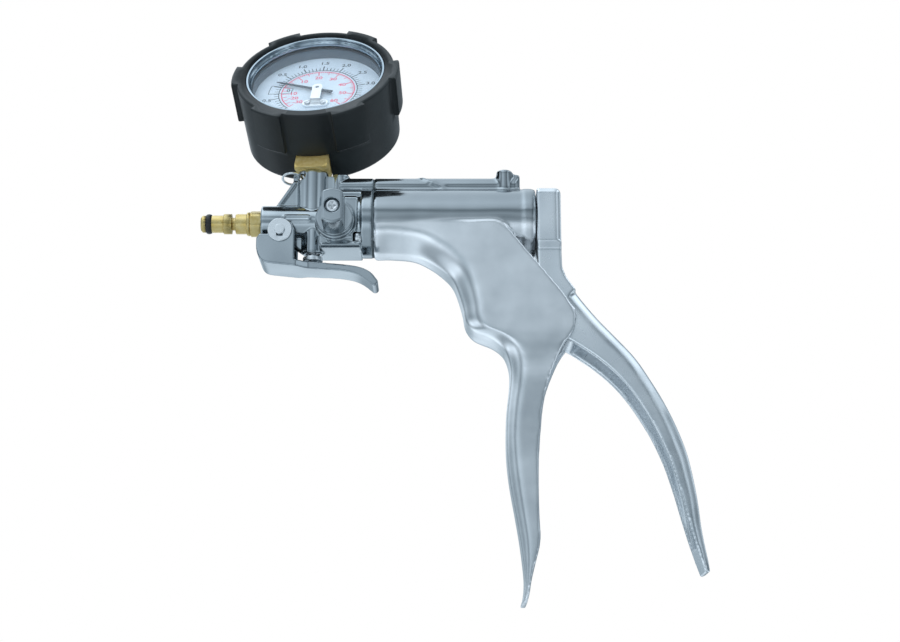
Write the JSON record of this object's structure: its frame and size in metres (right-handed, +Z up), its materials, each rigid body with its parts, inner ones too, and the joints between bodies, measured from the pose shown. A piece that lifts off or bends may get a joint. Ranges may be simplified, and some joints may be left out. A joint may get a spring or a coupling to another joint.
{
  "type": "hand vacuum pump",
  "caption": "Pistol-grip hand vacuum pump with die-cast barrel, squeeze handle, release lever, change-over knob, brass hose plug and a rubber-booted dial gauge.",
  "frame": {"origin": "on the barrel axis, at the front edge of the hose plug's locking collar", "axes": "barrel along X with the hose plug pointing to -X, +Z up, change-over knob on the -Y side"},
  "size_m": [0.2247, 0.0816, 0.2763],
  "materials": {
    "cast_metal": "polished die-cast zinc alloy",
    "bright_steel": "bright zinc-plated steel",
    "bezel_chrome": "bright chrome",
    "steel_case": "black painted pressed steel",
    "turned_brass": "machined brass",
    "black_rubber": "satin moulded rubber",
    "seal_rubber": "nitrile rubber",
    "gasket_fibre": "thin dark gasket",
    "moulded_plastic": "moulded acetal",
    "clear_lens": "clear flat lens",
    "dial_white": "white printed aluminium dial",
    "pointer_black": "matt black paint"
  },
  "bodies": {
    "pump_body": {"body_casting": "cast_metal", "head_casting": "cast_metal", "head_gasket": "gasket_fibre", "head_screws": "bright_steel", "valve_plate": "moulded_plastic", "intake_valve": "seal_rubber", "exhaust_valve": "seal_rubber", "hose_plug": "turned_brass", "plug_o_ring": "seal_rubber", "lever_pin": "bright_steel", "lever_clips": "bright_steel", "rod_bush": "turned_brass", "handle_pivot_pin": "bright_steel", "return_spring": "bright_steel", "release_spring": "bright_steel", "gauge_socket": "turned_brass", "gauge_boot": "black_rubber", "gauge_case": "steel_case", "gauge_bezel": "bezel_chrome", "gauge_lens": "clear_lens", "lens_spacer": "bezel_chrome", "gauge_dial": "dial_white", "dial_bracket": "bright_steel", "bracket_screws": "bright_steel", "movement_frame": "turned_brass", "sector_arbor": "turned_brass", "bourdon_tube": "turned_brass"},
    "squeeze_handle": {"moving_handle": "cast_metal"},
    "piston_group": {"piston": "moulded_plastic", "piston_cup_seal": "seal_rubber", "piston_nut": "bright_steel", "piston_rod": "bright_steel", "rod_pin": "bright_steel"},
    "vacuum_release": {"release_lever": "cast_metal"},
    "release_stem": {"release_valve_stem": "bright_steel", "release_valve_seal": "seal_rubber"},
    "change_over_valve": {"change_over_knob": "cast_metal", "knob_screw": "bright_steel", "valve_rotor": "turned_brass", "rotor_o_rings": "seal_rubber"},
    "hanging_ring": {"split_ring": "bright_steel"},
    "pointer": {"gauge_pointer": "pointer_black", "pointer_shaft": "bright_steel"},
    "gauge_sector": {"sector_gear": "turned_brass"}
  },
  "joints": [
    {"name": "handle_squeeze", "type": "hinge", "parent": "pump_body", "child": "squeeze_handle", "pos_m": [0.153, 0, -0.0466], "axis": [0, 1, 0], "range_deg": [0, 31], "stiffness_Nm_per_rad": 1.5, "springref_deg": -20.05},
    {"name": "piston_slide", "type": "slide", "parent": "pump_body", "child": "piston_group", "axis": [1, 0, 0], "range_m": [0, 0.0254], "deforming": ["return_spring"]},
    {"name": "lever_press", "type": "hinge", "parent": "pump_body", "child": "vacuum_release", "pos_m": [0.0262, 0, -0.006], "axis": [0, -1, 0], "range_deg": [0, 4], "stiffness_Nm_per_rad": 0.5, "springref_deg": -6.88},
    {"name": "stem_lift", "type": "slide", "parent": "pump_body", "child": "release_stem", "axis": [0, 0, 1], "range_m": [0, 0.0012], "deforming": ["release_spring"]},
    {"name": "knob_turn", "type": "hinge", "parent": "pump_body", "child": "change_over_valve", "pos_m": [0.051, -0.0136, -0.002], "axis": [0, -1, 0], "range_deg": [0, 90]},
    {"name": "ring_swing", "type": "hinge", "parent": "pump_body", "child": "hanging_ring", "pos_m": [0.035, 0, 0.0218], "axis": [0, 1, 0], "range_deg": [0, 9]},
    {"name": "sector_turn", "type": "hinge", "parent": "pump_body", "child": "gauge_sector", "pos_m": [0.04089, 0.0075, 0.0548], "axis": [-0.0849, -0.8076, 0.5835], "range_deg": [-10.75, 37.55], "stiffness_Nm_per_rad": 0.0005},
    {"name": "pointer_turn", "type": "hinge", "parent": "pump_body", "child": "pointer", "pos_m": [0.04151, 0.01339, 0.06236], "axis": [-0.0849, -0.8076, 0.5835], "range_deg": [-211, 61]}
  ],
  "couplings": [
    {"joint": "piston_slide", "follows": "handle_squeeze", "m_per_rad": 0.0466},
    {"joint": "stem_lift", "follows": "lever_press", "m_per_rad": 0.0145},
    {"joint": "pointer_turn", "follows": "sector_turn", "ratio": -5.6}
  ]
}
